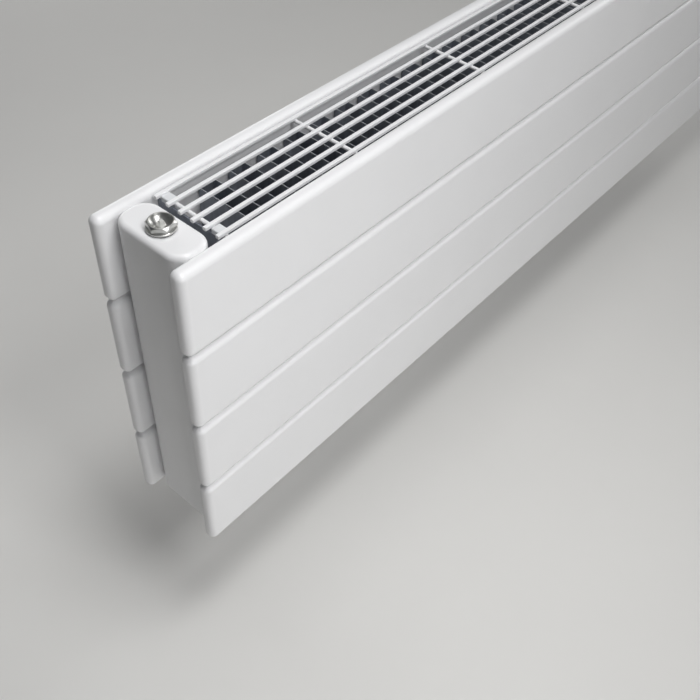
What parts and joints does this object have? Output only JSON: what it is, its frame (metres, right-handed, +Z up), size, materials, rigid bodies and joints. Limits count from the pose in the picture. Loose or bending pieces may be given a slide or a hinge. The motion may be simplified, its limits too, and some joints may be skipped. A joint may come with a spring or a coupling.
{
  "type": "horizontal flat-tube radiator",
  "caption": "Wall-hung radiator of stacked flat tubes in a front and a rear panel, joined by rounded upright collectors, with a folded convector and a lift-off bar grille.",
  "frame": {"origin": "on the wall plane, midway between the four wall-screw holes, level with the middle of the panels", "axes": "+X along the length, +Y into the wall, +Z up"},
  "size_m": [1.12, 0.115, 0.2944],
  "materials": {
    "enamelled_steel": "white stoved enamel over steel, satin",
    "convector_steel": "rolled steel with a dull grey zinc coat",
    "bracket_steel": "white powder coat over pressed steel",
    "nickel_plate": "nickel plate over turned brass",
    "screw_steel": "bright plated steel",
    "clip_plastic": "moulded light grey plastic",
    "nylon": "natural moulded nylon",
    "seal_rubber": "black moulded rubber",
    "bare_steel": "turned steel, bare inside the waterways"
  },
  "bodies": {
    "radiator": {"front_tube_1": "enamelled_steel", "rear_tube_1": "enamelled_steel", "front_tube_2": "enamelled_steel", "rear_tube_2": "enamelled_steel", "front_tube_3": "enamelled_steel", "rear_tube_3": "enamelled_steel", "front_tube_4": "enamelled_steel", "rear_tube_4": "enamelled_steel", "left_collector": "enamelled_steel", "left_hanging_rail": "enamelled_steel", "right_collector": "enamelled_steel", "right_hanging_rail": "enamelled_steel", "supply_socket": "enamelled_steel", "return_socket": "enamelled_steel", "left_grille_support": "convector_steel", "right_grille_support": "convector_steel", "convector": "convector_steel", "left_wall_bracket": "bracket_steel", "right_wall_bracket": "bracket_steel", "vent_plug": "nickel_plate", "blind_plug": "nickel_plate", "hook_liners": "nylon", "vent_plug_seal": "seal_rubber", "blind_plug_seal": "seal_rubber", "left_top_boss": "bare_steel", "right_top_boss": "bare_steel", "waterway_ferrules": "bare_steel"},
    "grille": {"grille_bar_1": "enamelled_steel", "grille_bar_2": "enamelled_steel", "grille_bar_3": "enamelled_steel", "grille_bar_4": "enamelled_steel", "grille_bar_5": "enamelled_steel", "grille_bar_6": "enamelled_steel", "grille_cross_wires": "enamelled_steel", "left_rear_clip": "clip_plastic", "left_front_clip": "clip_plastic", "right_rear_clip": "clip_plastic", "right_front_clip": "clip_plastic"},
    "vent_screw": {"vent_screw": "screw_steel"},
    "left_lock": {"left_lift_lock": "nylon"},
    "right_lock": {"right_lift_lock": "nylon"}
  },
  "joints": [
    {"name": "grille_lift", "type": "slide", "parent": "radiator", "child": "grille", "axis": [0, 0, 1], "range_m": [0, 0.05]},
    {"name": "vent_screw_turn", "type": "hinge", "parent": "radiator", "child": "vent_screw", "pos_m": [-0.5352, -0.0715, 0.142], "axis": [0, 0, 1], "range_deg": [0, 360]},
    {"name": "left_lock_slide", "type": "slide", "parent": "radiator", "child": "left_lock", "axis": [0, 0, 1], "range_m": [0, 0.012]},
    {"name": "right_lock_slide", "type": "slide", "parent": "radiator", "child": "right_lock", "axis": [0, 0, 1], "range_m": [0, 0.012]}
  ]
}
